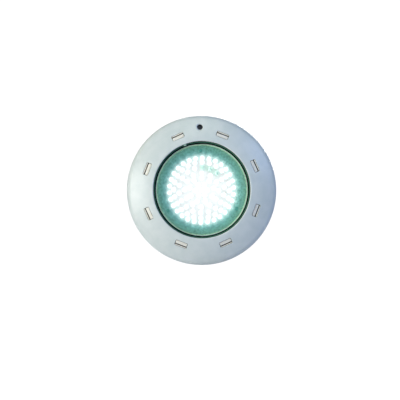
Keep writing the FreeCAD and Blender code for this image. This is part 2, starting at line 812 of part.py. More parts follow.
def make_lock_screw():
    """Captive screw with its washer.  Its thread is a plain shank, clear of the insert."""
    washer = new_body("screw_washer")
    rings = new_sketch(washer, "washer_rings", lift="lock_floor + 0.1")
    ring(rings, 0, "lock_ring", "washer_radius")
    ring(rings, 0, "lock_ring", "lock_shank + 0.1")
    pad(washer, "washer", rings, "washer_thick")

    screw = new_body("lock_screw")
    seat = "lock_floor + 0.1 + washer_thick + 0.05"
    shank = new_sketch(screw, "shank_outline", lift="lock_tip")
    ring(shank, 0, "lock_ring", "lock_shank")
    pad(screw, "shank", shank, f"{seat} - lock_tip + 0.5")
    head = new_sketch(screw, "head_outline", lift=seat)
    ring(head, 0, "lock_ring", "lock_head")
    pad(screw, "head", head, "lock_head_tall")
    for index, turn in enumerate((0, 90)):
        recess = new_sketch(screw, f"recess_{index}", lift=f"{seat} + lock_head_tall")
        if turn:
            rectangle(recess, -0.6, "lock_ring - 2.7", 0.6, "lock_ring + 2.7")
        else:
            rectangle(recess, -2.7, "lock_ring - 0.6", 2.7, "lock_ring + 0.6")
        pocket(screw, f"cross_{index}", recess, "5")


make_wall_bracket()
make_bracket_insert()
make_rear_housing()
make_gasket()
make_lens()
make_clamp_ring()
turned_group("clamp_screws",
             screw_profile("2.8", "1.5", "(flange_top - 8)", "(clamp_top - 5.5)",
                           "(clamp_top - 2.7)"),
             "clamp_ring_bolts", 12, start=15)
make_face_ring()
make_screw_sleeve()
make_snap_hooks()
make_disc("heat_sink", "sink_radius", "sink_low", "sink_top", "2.5")
make_disc("thermal_pad", "sink_radius", "sink_top", "board_low", "2.5")
make_disc("led_board", "board_radius", "board_low", "board_top", "0.6")
make_leds()
make_trim_ring()
turned_group("standoffs",
             [("0", "house_floor"), ("3.5", "house_floor"), ("3.5", "sink_low"),
              ("1.5", "sink_low"), ("1.5", "house_floor + 2"), ("0", "house_floor + 2")],
             "post_ring", 4, start=45)
turned_group("board_screws",
             screw_profile("2.8", "1.5", "(house_floor + 3)", "board_top",
                           "(board_top + 1.8)"),
             "post_ring", 4, start=45)
make_driver()
make_gland()
make_pivot()
make_lock_screw()

doc.recompute()
for item in doc.Objects:
    assert "Invalid" not in item.State and "Error" not in item.State, (item.Name, item.State)
os.makedirs("parts", exist_ok=True)
for piece in PIECES:
    shape = piece.Shape
    assert not shape.isNull() and shape.isValid() and shape.Solids, piece.Label
    box = shape.BoundBox
    print(f"{piece.Label:18s} solids {len(shape.Solids):3d}  volume {shape.Volume:10.1f}  "
          f"x {box.XMin:.1f} {box.XMax:.1f}  y {box.YMin:.1f} {box.YMax:.1f}  "
          f"z {box.ZMin:.1f} {box.ZMax:.1f}")
    shape.exportStep(f"parts/{piece.Label}.step")
print(len(PIECES), "pieces")
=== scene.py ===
# %% [markdown]
# An underwater pool light, hung on a bracket on the pool's wall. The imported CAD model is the
# fixed frame: it says where every piece is and how it moves. The pieces that the eye meets
# first, which are the face ring, its hooks, the lens, its gasket and the lamps, are made again
# here as smooth surfaces. The rest keeps its CAD shape and gets a finish.

# %% Load the frame
import math

import bpy
import numpy as np
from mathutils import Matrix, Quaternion, Vector


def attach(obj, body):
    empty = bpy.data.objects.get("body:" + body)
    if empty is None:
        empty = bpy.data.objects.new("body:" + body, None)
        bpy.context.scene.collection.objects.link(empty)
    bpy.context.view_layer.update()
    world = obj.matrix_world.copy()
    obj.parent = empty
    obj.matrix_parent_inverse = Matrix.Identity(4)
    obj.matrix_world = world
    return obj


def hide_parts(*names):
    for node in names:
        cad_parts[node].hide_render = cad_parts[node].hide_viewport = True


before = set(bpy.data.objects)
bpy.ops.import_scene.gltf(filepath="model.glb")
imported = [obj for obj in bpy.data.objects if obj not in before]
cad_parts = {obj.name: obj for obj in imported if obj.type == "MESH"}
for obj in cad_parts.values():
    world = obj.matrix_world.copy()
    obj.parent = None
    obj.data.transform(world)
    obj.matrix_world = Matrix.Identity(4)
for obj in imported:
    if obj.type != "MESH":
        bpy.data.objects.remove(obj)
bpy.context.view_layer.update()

# %% [markdown]
# The light is round, so it's easiest to draw lying on a bench with its front upwards: x to the
# right, y to the top of the light, z out of the wall, all in millimetres. One turn about X then
# hangs it on the wall. A surface is a grid of points. Several grids are welded into one mesh,
# so a shape with holes can be made of patches that share their edges.

# %% Helpers that make meshes from grids of points
MM = 0.001


def stand_up(points):
    """Bench millimetres to metres on the wall: (x, y, z) becomes (x, -z, y)."""
    points = np.asarray(points, dtype=float)
    return np.stack([points[..., 0], -points[..., 2], points[..., 1]], axis=-1) * MM


def weld(grids):
    """Join grids of points, each (rows, columns, 3), into one list of corners and faces.
    Corners closer than a tenth of a micrometre become one, and a face that shrinks to a line
    is dropped."""
    corners, faces, first = [], [], 0
    for grid in grids:
        rows, columns = grid.shape[:2]
        index = first + np.arange(rows * columns).reshape(rows, columns)
        quads = np.stack([index[:-1, :-1], index[1:, :-1], index[1:, 1:], index[:-1, 1:]], axis=-1)
        corners.append(grid.reshape(-1, 3))
        faces.append(quads.reshape(-1, 4))
        first += rows * columns
    corners = np.concatenate(corners)
    faces = np.concatenate(faces)
    keys = np.round(corners * 1e4).astype(np.int64)
    _, keep, where = np.unique(keys, axis=0, return_index=True, return_inverse=True)
    faces = where.reshape(-1)[faces]
    polygons = []
    for face in faces.tolist():
        ring = [corner for at, corner in enumerate(face) if corner != face[at - 1]]
        if len(set(ring)) > 2:
            polygons.append(ring)
    return corners[keep], polygons


def piece(name, grids, body, node=None, smooth_angle=40):
    """A finished mesh object from grids in bench millimetres. It rides on a body, and it may
    stand for a CAD node."""
    corners, polygons = weld(grids)
    mesh = bpy.data.meshes.new(name)
    mesh.from_pydata(stand_up(corners).tolist(), [], polygons)
    mesh.update()
    thing = bpy.data.objects.new(name, mesh)
    bpy.context.collection.objects.link(thing)
    mesh.polygons.foreach_set("use_smooth", np.ones(len(mesh.polygons), dtype=bool))
    mesh.set_sharp_from_angle(angle=math.radians(smooth_angle))
    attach(thing, body)
    if node:
        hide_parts(node)
    print(f"{name}: {len(mesh.vertices)} corners, {len(mesh.polygons)} faces")
    return thing


def rounded(points, radii, steps=4):
    """A profile with its corners rounded. Each corner of radius r is left one tangent length
    before it and met again one after it, along an arc of that radius."""
    points = [np.array(point, dtype=float) for point in points]
    out = []
    for at, here in enumerate(points):
        radius = radii[at]
        if radius == 0:
            out.append(here)
            continue
        back = points[at - 1] - here
        ahead = points[(at + 1) % len(points)] - here
        back = back / np.linalg.norm(back)
        ahead = ahead / np.linalg.norm(ahead)
        half = math.acos(np.clip(np.dot(back, ahead), -1, 1)) / 2
        centre = here + (back + ahead) / np.linalg.norm(back + ahead) * radius / math.sin(half)
        start = here + back * radius / math.tan(half) - centre
        finish = here + ahead * radius / math.tan(half) - centre
        turn = math.pi - 2 * half
        for share in np.linspace(0, 1, steps + 1):
            a = math.sin((1 - share) * turn) / math.sin(turn)
            b = math.sin(share * turn) / math.sin(turn)
            out.append(centre + a * start + b * finish)
    return np.array(out)


def arc(start, finish, radius, steps):
    """Points from start to finish on a circle that turns left. radius is negative for right."""
    start, finish = np.array(start, dtype=float), np.array(finish, dtype=float)
    chord = finish - start
    length = np.linalg.norm(chord)
    left = np.array([-chord[1], chord[0]]) / length
    reach = math.sqrt(max(radius ** 2 - (length / 2) ** 2, 0)) * (1 if radius > 0 else -1)
    centre = (start + finish) / 2 + left * reach
    a = math.atan2(*(start - centre)[::-1])
    b = math.atan2(*(finish - centre)[::-1])
    if radius > 0 and b < a:
        b += 2 * math.pi
    if radius < 0 and b > a:
        b -= 2 * math.pi
    angles = np.linspace(a, b, steps + 1)
    return centre + abs(radius) * np.stack([np.cos(angles), np.sin(angles)], axis=1)


def lathe(profile, turns=96, angles=None, centre=(0, 0)):
    """Carry a profile of (radius, height) points round an upright axis: x = r cos t,
    y = r sin t. With the solid on the left of the profile, faces point outwards."""
    profile = np.asarray(profile, dtype=float)
    if angles is None:
        angles = np.linspace(0, 2 * math.pi, turns + 1)
    x = centre[0] + profile[None, :, 0] * np.cos(angles)[:, None]
    y = centre[1] + profile[None, :, 0] * np.sin(angles)[:, None]
    z = np.broadcast_to(profile[None, :, 1], x.shape)
    grid = np.stack([x, y, z], axis=-1)
    grid[-1] = grid[0]
    return grid


# %% [markdown]
# A moulded plastic, a metal or a rubber each starts from one Principled shader. Numbers that
# are the same all over go straight on the shader, and what varies comes from small textures
# read in Object coordinates, so they keep their real size in metres.

# %% Helpers that make materials
def linear(code):
    """An sRGB hex colour as linear red, green, blue and 1."""
    values = np.array([int(code[at:at + 2], 16) for at in (1, 3, 5)]) / 255
    curve = np.where(values <= 0.04045, values / 12.92, ((values + 0.055) / 1.055) ** 2.4)
    return (*curve.tolist(), 1.0)


def add(tree, kind, settings=None, links=None, **places):
    """Add a node. settings are its own values, places are numbers or colours for its sockets
    by position or name, and links join a socket to another node's output."""
    made = tree.nodes.new(kind)
    for name, value in (settings or {}).items():
        setattr(made, name, value)
    for name, value in places.items():
        made.inputs[name.replace("_", " ")].default_value = value
    for socket, source in (links or {}).items():
        tree.links.new(source, made.inputs[socket])
    return made


def finish(name, colour, **numbers):
    """A material with one Principled shader. Returns the material, its tree and the shader."""
    material = bpy.data.materials.new(name)
    material.use_nodes = True
    tree = material.node_tree
    shader = tree.nodes["Principled BSDF"]
    shader.inputs["Base Color"].default_value = linear(colour)
    for key, value in numbers.items():
        shader.inputs[key.replace("_", " ")].default_value = value
    return material, tree, shader


def speckle(tree, shader, light, dark, grain_mm):
    """Vary the colour between two hex values with noise whose grain has a real size."""
    place = add(tree, "ShaderNodeTexCoord")
    noise = add(tree, "ShaderNodeTexNoise", links={"Vector": place.outputs["Object"]},
                Scale=1 / (grain_mm * MM), Detail=3.0)
    ramp = add(tree, "ShaderNodeValToRGB", links={0: noise.outputs[0]})
    ramp.color_ramp.elements[0].position = 0.35
    ramp.color_ramp.elements[1].position = 0.65
    ramp.color_ramp.elements[0].color = linear(dark)
    ramp.color_ramp.elements[1].color = linear(light)
    tree.links.new(ramp.outputs[0], shader.inputs["Base Color"])
    return place, ramp


def rough_skin(tree, shader, place, grain_mm, height_mm, low, high):
    """Add a fine skin: bump of a real height, and a roughness that wanders with it."""
    noise = add(tree, "ShaderNodeTexNoise", links={"Vector": place.outputs["Object"]},
                Scale=1 / (grain_mm * MM), Detail=2.0)
    bump = add(tree, "ShaderNodeBump", links={"Height": noise.outputs[0]},
               Strength=0.5, Distance=height_mm * MM)
    tree.links.new(bump.outputs[0], shader.inputs["Normal"])
    spread = add(tree, "ShaderNodeMapRange", links={0: noise.outputs[0]},
                 To_Min=low, To_Max=high)
    tree.links.new(spread.outputs[0], shader.inputs["Roughness"])


def grained(name, colour, light, dark, grain_mm, skin=None, glows=False, **numbers):
    """A finish whose colour wanders between two hex values. skin is the grain and height of the
    bump and the lowest and highest roughness. What glows sends out its own colour."""
    material, tree, shader = finish(name, colour, **numbers)
    place, ramp = speckle(tree, shader, light, dark, grain_mm)
    if skin:
        rough_skin(tree, shader, place, *skin)
    if glows:
        tree.links.new(ramp.outputs[0], shader.inputs["Emission Color"])
    return material


def coat(thing, material):
    """Give an object its finish, and no other."""
    thing.data.materials.clear()
    thing.data.materials.append(material)


def dress(node, material):
    """Give a CAD node its finish."""
    coat(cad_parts[node], material)


def calculate(tree, operation, *values):
    """A math node's output. Each value is a number or another node's output."""
    made = add(tree, "ShaderNodeMath", {"operation": operation})
    for socket, value in zip(made.inputs, values):
        if isinstance(value, bpy.types.NodeSocket):
            tree.links.new(value, socket)
        else:
            socket.default_value = value
    return made.outputs[0]


def scaled(tree, colour, factor):
    """A colour times a factor, which is a number or another node's output."""
    made = add(tree, "ShaderNodeVectorMath", {"operation": "SCALE"}, {0: colour})
    if isinstance(factor, bpy.types.NodeSocket):
        tree.links.new(factor, made.inputs["Scale"])
    else:
        made.inputs["Scale"].default_value = factor
    return made.outputs[0]


# %% [markdown]
# The camera stands almost square to the front, a touch low and to the left. The light hangs
# very slightly turned in its view, so the camera is rolled by the same angle.

# %% Camera
CAMERA_AZIMUTH = math.radians(-1.0)
CAMERA_ELEVATION = math.radians(-2.0)
CAMERA_ROLL = math.radians(1.7)
CAMERA_DISTANCE = 2.5
CAMERA_LENS = 116.0
CAMERA_TARGET = np.array([-0.0037, -0.034, -0.0188])
back = np.array([math.sin(CAMERA_AZIMUTH) * math.cos(CAMERA_ELEVATION),
                 -math.cos(CAMERA_AZIMUTH) * math.cos(CAMERA_ELEVATION),
                 math.sin(CAMERA_ELEVATION)])
camera_data = bpy.data.cameras.new("camera")
camera_data.lens = CAMERA_LENS
camera_data.sensor_width = 36
camera = bpy.data.objects.new("camera", camera_data)
bpy.context.collection.objects.link(camera)
camera.location = (CAMERA_TARGET + back * CAMERA_DISTANCE).tolist()
look = Vector((-back).tolist()).to_track_quat("-Z", "Y")
camera.rotation_euler = (look @ Quaternion((0, 0, 1), -CAMERA_ROLL)).to_euler()
bpy.context.scene.camera = camera
print("camera at", [round(v, 3) for v in camera.location])

# %% [markdown]
# The face ring is one moulding: a shallow dome with a soft rim, eight windows and a screw hole.
# A turned shell is easy, but holes don't fit a turned grid. So the band that holds the holes is
# made of patches. Each hole's patch starts on a block of the band, closes in on the hole's
# rounded outline, drops through the wall and opens again on the underside.

# %% Face ring: the dome's heights
RIM_RADIUS = 145.0
RIM_BACK = 7.0
OPENING_RADIUS = 93.4
CREST_RADIUS = 95.0
CREST_HEIGHT = 65.0
SHELL = 3.0
LIP_HEIGHT = 61.5
RIM_ROUND = 16.0
DOME_START = math.radians(14.5)
DOME_END = math.radians(30.5)
dome_end_r = RIM_RADIUS - RIM_ROUND * (1 - math.sin(DOME_END))
dome_mid = (DOME_START + DOME_END) / 2
dome_end_z = CREST_HEIGHT - (dome_end_r - CREST_RADIUS) * math.tan(dome_mid)
dome_radius = ((dome_end_r - CREST_RADIUS) / math.cos(dome_mid)
               / (2 * math.sin((DOME_END - DOME_START) / 2)))
dome_centre = (CREST_RADIUS - dome_radius * math.sin(DOME_START),
               CREST_HEIGHT - dome_radius * math.cos(DOME_START))
rim_top_z = dome_end_z - RIM_ROUND * math.cos(DOME_END)
print("dome radius", round(dome_radius, 2), "ends at", round(dome_end_r, 2), round(dome_end_z, 2))


def dome(radius, inset=0.0):
    """Height of the dome at a radius: a circular arc in section. inset measures the height of
    the parallel surface that lies that far inside."""
    return dome_centre[1] + np.sqrt((dome_radius - inset) ** 2 - (radius - dome_centre[0]) ** 2)


# %% Face ring: outlines of the holes and the blocks round them
BAND_LOW, BAND_HIGH = 103.0, 131.0
ALONG, ACROSS = 26, 18


def eased(count):
    """Steps from 0 to 1 that are short near both ends."""
    return (1 - np.cos(np.linspace(0, math.pi, count + 1))) / 2


def loop_of_box(low_a, high_a, low_b, high_b):
    """Closed loop round a box: out along a, along b, back along a and back along b."""
    a = low_a + (high_a - low_a) * eased(ACROSS)
    b = low_b + (high_b - low_b) * eased(ALONG)
    return np.concatenate([
        np.stack([a, np.full_like(a, low_b)], axis=1)[:-1],
        np.stack([np.full_like(b, high_a), b], axis=1)[:-1],
        np.stack([a[::-1], np.full_like(a, high_b)], axis=1)[:-1],
        np.stack([np.full_like(b, low_a), b[::-1]], axis=1)])


def rounded_loop(half_a, half_b, corner):
    """The same loop with round corners: a point near a corner is moved onto the circle about
    the corner's centre."""
    sharp = loop_of_box(-half_a, half_a, -half_b, half_b)
    inner = np.stack([np.clip(sharp[:, 0], -half_a + corner, half_a - corner),
                      np.clip(sharp[:, 1], -half_b + corner, half_b - corner)], axis=1)
    out = sharp - inner
    return inner + corner * out / np.linalg.norm(out, axis=1, keepdims=True)


def hole_patch(angle, half_angle, hole_radius, rings):
    """One block of the band with its hole. rings lists what the patch passes through from the
    top block to the one below: (loop round the hole's centre, height or None for the dome,
    drop below the dome). Points between the block and the first ring lie on the dome."""
    block = loop_of_box(BAND_LOW, BAND_HIGH, angle - half_angle, angle + half_angle)
    edge = np.stack([block[:, 0] * np.cos(block[:, 1]), block[:, 0] * np.sin(block[:, 1])], axis=1)
    outward = np.array([math.cos(angle), math.sin(angle)])
    along = np.array([-math.sin(angle), math.cos(angle)])

    def in_place(loop):
        return hole_radius * outward + loop[:, :1] * outward + loop[:, 1:] * along

    def lifted(flat, height=None, drop=0.0, inset=0.0):
        radius = np.linalg.norm(flat, axis=1)
        z = dome(radius, inset) - drop if height is None else np.full(len(flat), height)
        return np.concatenate([flat, z[:, None]], axis=1)

    top = in_place(rings[0][0])
    columns = []
    for share in (0, 0.25, 0.5, 0.7, 0.85, 0.95):
        columns.append(lifted(edge * (1 - share) + top * share))
    for loop, height, drop in rings:
        columns.append(lifted(in_place(loop), height, drop))
    bottom = in_place(rings[-1][0])
    for share in (0, 0.3, 0.65, 1):
        columns.append(lifted(bottom * (1 - share) + edge * share, inset=SHELL))
    grid = np.stack(columns, axis=1)
    grid[-1] = grid[0]
    return grid


# %% Face ring: rings of points down each hole
WINDOW_RING, WINDOW_LONG, WINDOW_WIDE, WINDOW_CORNER = 112.0, 24.5, 10.4, 2.0
WINDOW_EDGE = 0.7
LOCK_RING, LOCK_BORE, LOCK_MOUTH = 121.0, 5.3, 7.0
WINDOW_HALF = math.radians(9.0)
LOCK_HALF = math.radians(6.0)
HOLE_DEPTH = SHELL * 1.05
window_angles = [math.radians(22.5 + 45 * count) for count in range(8)]
lock_angle = math.radians(90)


def window_rings():
    """Down a window: a quarter round at its edge, then straight through the wall."""
    rings = []
    for turn in np.linspace(0, math.pi / 2, 5):
        grow = WINDOW_EDGE * (1 - math.sin(turn))
        loop = rounded_loop(WINDOW_WIDE / 2 + grow, WINDOW_LONG / 2 + grow, WINDOW_CORNER + grow)
        rings.append((loop, None, WINDOW_EDGE * (1 - math.cos(turn))))
    loop = rounded_loop(WINDOW_WIDE / 2, WINDOW_LONG / 2, WINDOW_CORNER)
    rings.append((loop, None, SHELL * 0.75))
    rings.append((loop, None, HOLE_DEPTH))
    return rings


def lock_rings():
    """Down the screw hole: a soft edge, the countersink's slope and the bore. Each pair is a
    radius and the drop below the dome."""
    slope = [(LOCK_MOUTH + 0.5, 0.0), (LOCK_MOUTH + 0.1, 0.15), (LOCK_MOUTH - 0.2, 0.5),
             (LOCK_BORE + 0.3, 1.9), (LOCK_BORE, 2.4), (LOCK_BORE, HOLE_DEPTH)]
    return [(rounded_loop(radius, radius, radius), None, drop) for radius, drop in slope]


# %% Face ring: the band that holds the holes
GAP_STEPS = 12
patches = [hole_patch(angle, WINDOW_HALF, WINDOW_RING, window_rings()) for angle in window_angles]
patches.append(hole_patch(lock_angle, LOCK_HALF, LOCK_RING, lock_rings()))

blocks = sorted([(angle - WINDOW_HALF, angle + WINDOW_HALF) for angle in window_angles]
                + [(lock_angle - LOCK_HALF, lock_angle + LOCK_HALF)])
band_steps = BAND_LOW + (BAND_HIGH - BAND_LOW) * eased(ACROSS)
angles = []
for at, (low, high) in enumerate(blocks):
    gap_end = blocks[(at + 1) % len(blocks)][0] + (2 * math.pi if at == len(blocks) - 1 else 0)
    gap = np.linspace(high, gap_end, GAP_STEPS + 1)
    angles.extend((low + (high - low) * eased(ALONG)).tolist()[:-1] + gap.tolist()[:-1])
    above = np.stack([band_steps[::-1], dome(band_steps[::-1])], axis=1)
    below = np.stack([band_steps, dome(band_steps, SHELL)], axis=1)
    for strip in (above, below):
        x = strip[None, :, 0] * np.cos(gap)[:, None]
        y = strip[None, :, 0] * np.sin(gap)[:, None]
        patches.append(np.stack([x, y, np.broadcast_to(strip[None, :, 1], x.shape)], axis=-1))
angles.append(angles[0] + 2 * math.pi)
angles = np.array(angles)

# %% Face ring: the turned shell inside and outside the band
# A profile's points between its corners only keep the faces short.
WALL_JOIN = 20.0
LIP_OUTER, LIP_TOP, LIP_BEND = 95.2, 63.6, 1.42
rim_inner = RIM_RADIUS - SHELL
inner_dome_r = dome_end_r - SHELL * math.sin(DOME_END)
inner_crest = (CREST_RADIUS - SHELL * math.sin(DOME_START),
               CREST_HEIGHT - SHELL * math.cos(DOME_START))
outside = np.concatenate([
    rounded([(rim_inner, WALL_JOIN), (rim_inner, RIM_BACK), (RIM_RADIUS, RIM_BACK),
             (RIM_RADIUS, WALL_JOIN)], [0, 0.8, 1.2, 0], 3),
    [(RIM_RADIUS, 27.0)],
    arc((RIM_RADIUS, rim_top_z), (dome_end_r, dome_end_z), RIM_ROUND, 12),
    [(134.0, dome(134.0)), (BAND_HIGH, dome(BAND_HIGH))]])
lip_round = arc((LIP_OUTER, dome(LIP_OUTER)), (OPENING_RADIUS, LIP_TOP), LIP_BEND, 8)
inside = np.concatenate([
    [(BAND_LOW, dome(BAND_LOW)), (100.0, dome(100.0)), (96.5, dome(96.5))],
    lip_round,
    [(OPENING_RADIUS, LIP_HEIGHT), inner_crest, (98.0, dome(98.0, SHELL)),
     (BAND_LOW, dome(BAND_LOW, SHELL))]])
under = np.concatenate([
    [(BAND_HIGH, dome(BAND_HIGH, SHELL)), (inner_dome_r, dome(inner_dome_r, SHELL))],
    arc((inner_dome_r, dome(inner_dome_r, SHELL)), (rim_inner, rim_top_z),
        -(RIM_ROUND - SHELL), 8)[1:],
    [(rim_inner, WALL_JOIN)]])
for profile in (outside, inside, under):
    patches.append(lathe(profile, angles=angles))
face_ring = piece("face_ring_shell", patches, "lamp_unit", "face_ring")

# %% Face ring finish: satin white ABS
ring_white = grained("abs_satin_white", "#e4ece8", "#e6eeea", "#dee8e4", 18,
                     (1.6, 0.015, 0.28, 0.38), Roughness=0.32, IOR=1.53)
coat(face_ring, ring_white)

# %% [markdown]
# The locating tab is a small tongue on the ring's inner edge that shows which way up the lens
# goes. Like the snap hooks it's a block with soft edges: a point on the sharp box is pulled to
# the nearest point of a smaller box and pushed out again by the edge's radius.

# %% Blocks with soft edges
def soft_block(size, edge, steps=7):
    """Six grids of a box of the given size about the origin, with rounded edges."""
    half = np.array(size, dtype=float) / 2
    a, b = np.meshgrid(eased(steps) * 2 - 1, eased(steps) * 2 - 1, indexing="ij")
    one = np.ones_like(a)
    sides = [(one, a, b), (-one, b, a), (b, one, a), (a, -one, b), (a, b, one), (b, a, -one)]
    grids = []
    for side in sides:
        sharp = np.stack(side, axis=-1) * half
        inner = np.clip(sharp, -half + edge, half - edge)
        out = sharp - inner
        grids.append(inner + edge * out / np.linalg.norm(out, axis=-1, keepdims=True))
    return grids


def placed(grids, angle, radius, height):
    """Turn grids by an angle about the light's axis after moving them out and up."""
    c, s = math.cos(angle), math.sin(angle)
    out = []
    for grid in grids:
        x = grid[..., 0] + radius
        y = grid[..., 1]
        out.append(np.stack([x * c - y * s, x * s + y * c, grid[..., 2] + height], axis=-1))
    return out


TAB_ANGLE = math.radians(109)
TAB_SIZE, TAB_EDGE, TAB_RADIUS, TAB_HEIGHT = (4.4, 5, 1.2), 0.4, 92.2, 62.1
tab = piece("locating_tab",
            placed(soft_block(TAB_SIZE, TAB_EDGE, 5), TAB_ANGLE, TAB_RADIUS, TAB_HEIGHT),
            "lamp_unit")
tab_green = grained("pp_pale_green", "#a5c7b2", "#b0d0bb", "#98bba6", 1.5,
                    (0.5, 0.01, 0.45, 0.6), Roughness=0.5, IOR=1.49)
coat(tab, tab_green)

# %% Snap hooks in the windows
# Each is a springy lip on the inner side and a root on the outer side, with a slit between
# them. A block is (inner radius, outer radius, low, top, soft edge).
HOOK_LONG = 22.7
HOOK_BLOCKS = [(107.3, 113.0, 53.1, 59.2, 0.7), (115.0, 116.7, 53.1, 57.2, 0.4)]
WINDOW_SLOPE = 0.33


def hook_block(inner, outer, low, top, edge):
    """A soft block whose top leans with the dome: height drops by the slope times the distance
    beyond the block's own middle, in full at the top and not at all at the foot."""
    middle, tall = (inner + outer) / 2, top - low
    grids = soft_block((outer - inner, HOOK_LONG, tall), edge, 8)
    for grid in grids:
        lean = WINDOW_SLOPE * grid[..., 0]
        grid[..., 2] -= lean * (grid[..., 2] / tall + 0.5)
    return grids, middle, (low + top) / 2


hook_grids = []
for angle in window_angles:
    for block in HOOK_BLOCKS:
        grids, middle, height = hook_block(*block)
        hook_grids += placed(grids, angle, middle, height)
hooks = piece("snap_hook_set", hook_grids, "lamp_unit", "snap_hooks")
cream = grained("abs_moulded_cream", "#f6f1dd", "#fffdf2", "#f8f3e2", 5,
                (0.8, 0.02, 0.4, 0.5), Roughness=0.45, IOR=1.53)
coat(hooks, cream)

# %% [markdown]
# The lens is a disc of clear toughened glass, domed outwards, with a flat edge held in a rubber
# ring of U section. Real glass bends light but casts almost no shadow, so shadow rays pass.

# %% Lens
LENS_RADIUS, LENS_FLAT, LENS_LOW, LENS_HIGH, LENS_RISE = 92.0, 88.0, 52.0, 57.0, 5.0
lens_bend = (LENS_FLAT ** 2 + LENS_RISE ** 2) / (2 * LENS_RISE)
lens_profile = np.concatenate([
    arc((0, LENS_LOW + LENS_RISE), (LENS_FLAT, LENS_LOW), -lens_bend, 24),
    rounded([(90.0, LENS_LOW), (LENS_RADIUS, LENS_LOW), (LENS_RADIUS, LENS_HIGH),
             (90.0, LENS_HIGH)], [0, 1.0, 1.0, 0], 3),
    arc((LENS_FLAT, LENS_HIGH), (0, LENS_HIGH + LENS_RISE), lens_bend, 24)])
lens = piece("lens_glass", [lathe(lens_profile, 128)], "lamp_unit", "lens")
glass, tree, shader = finish("toughened_glass", "#f4fffb", Roughness=0.0, IOR=1.45,
                             Transmission_Weight=1.0)
ray = add(tree, "ShaderNodeLightPath")
clear = add(tree, "ShaderNodeBsdfTransparent", Color=linear("#f2fffa"))
both = add(tree, "ShaderNodeMixShader", links={0: ray.outputs["Is Shadow Ray"],
                                               1: shader.outputs[0], 2: clear.outputs[0]})
tree.links.new(both.outputs[0], tree.nodes["Material Output"].inputs["Surface"])
coat(lens, glass)

# %% Helpers: colours and masks about the light's axis
def about_axis(tree, place):
    """Distance from the light's axis, in metres, and the angle from three o'clock, in radians."""
    flat = add(tree, "ShaderNodeVectorMath", {"operation": "MULTIPLY"},
               {0: place.outputs["Object"]})
    flat.inputs[1].default_value = (1, 0, 1)
    distance = add(tree, "ShaderNodeVectorMath", {"operation": "LENGTH"}, {0: flat.outputs[0]})
    split = add(tree, "ShaderNodeSeparateXYZ", links={0: place.outputs["Object"]})
    angle = add(tree, "ShaderNodeMath", {"operation": "ARCTAN2"},
                {0: split.outputs["Z"], 1: split.outputs["X"]})
    return distance.outputs["Value"], angle.outputs[0]


def ring_colours(tree, distance, stops):
    """A colour ramp over the distance from the light's axis. stops are (radius mm, hex)."""
    low, high = stops[0][0], stops[-1][0]
    share = add(tree, "ShaderNodeMapRange", links={0: distance},
                From_Min=low * MM, From_Max=high * MM)
    ramp = add(tree, "ShaderNodeValToRGB", links={0: share.outputs[0]})
    while len(ramp.color_ramp.elements) < len(stops):
        ramp.color_ramp.elements.new(0.5)
    for element, (radius, colour) in zip(ramp.color_ramp.elements, stops):
        element.position = (radius - low) / (high - low)
        element.color = linear(colour)
    return ramp


def wave(tree, angle, count, start, low, high):
    """A value that swings from low to high count times a turn, and is high at start degrees."""
    phase = calculate(tree, "MULTIPLY_ADD", angle, count, -count * math.radians(start))
    cosine = calculate(tree, "COSINE", phase)
    return add(tree, "ShaderNodeMapRange", links={0: cosine},
               From_Min=-1.0, From_Max=1.0, To_Min=low, To_Max=high).outputs[0]


def near(tree, value, middle, inner, outer):
    """1 where a value lies within inner of the middle, falling smoothly to 0 at outer."""
    off = calculate(tree, "ABSOLUTE", calculate(tree, "SUBTRACT", value, middle))
    return add(tree, "ShaderNodeMapRange", {"interpolation_type": "SMOOTHSTEP"}, {0: off},
               From_Min=inner, From_Max=outer, To_Min=1.0, To_Max=0.0).outputs[0]


# %% Gasket
# A flat bead presses on the glass. Outside it a groove and a slope rise to the clamp ring.
gasket_profile = rounded([
    (88.5, 50.0), (95.0, 50.0), (95.0, 59.0), (92.0, 59.0), (90.8, 57.9), (90.5, 57.9),
    (90.2, 58.8), (88.5, 58.8), (88.5, 57.0), (92.0, 57.0), (92.0, 52.0), (88.5, 52.0)],
    [0.3, 0.3, 0.3, 0.3, 0.1, 0.1, 0.3, 0.5, 0.2, 0.2, 0.2, 0.2], 2)
gasket_profile = np.concatenate([gasket_profile, gasket_profile[:1]])
gasket = piece("lens_gasket_ring", [lathe(gasket_profile, 128)], "lamp_unit", "lens_gasket")
rubber = grained("epdm_rubber", "#1c2b24", "#22342b", "#17231d", 3,
                 (0.6, 0.02, 0.45, 0.65), Roughness=0.55, IOR=1.52)
bead, tree, shader = finish("epdm_rubber_painted_highlight", "#12241b", Roughness=0.5, IOR=1.52,
                            Specular_IOR_Level=0.12)
place = add(tree, "ShaderNodeTexCoord")
distance, _ = about_axis(tree, place)
# Painted highlight: a grey-green stripe over the groove and slope stands for the light they catch.
ramp = ring_colours(tree, distance, [(88, "#030d07"), (90.4, "#041009"), (91.1, "#3a735a"),
                                     (92.1, "#4f8870"), (92.8, "#0b1812")])
rough_skin(tree, shader, place, 0.6, 0.02, 0.45, 0.6)
tree.links.new(ramp.outputs[0], shader.inputs["Base Color"])
coat(gasket, bead)
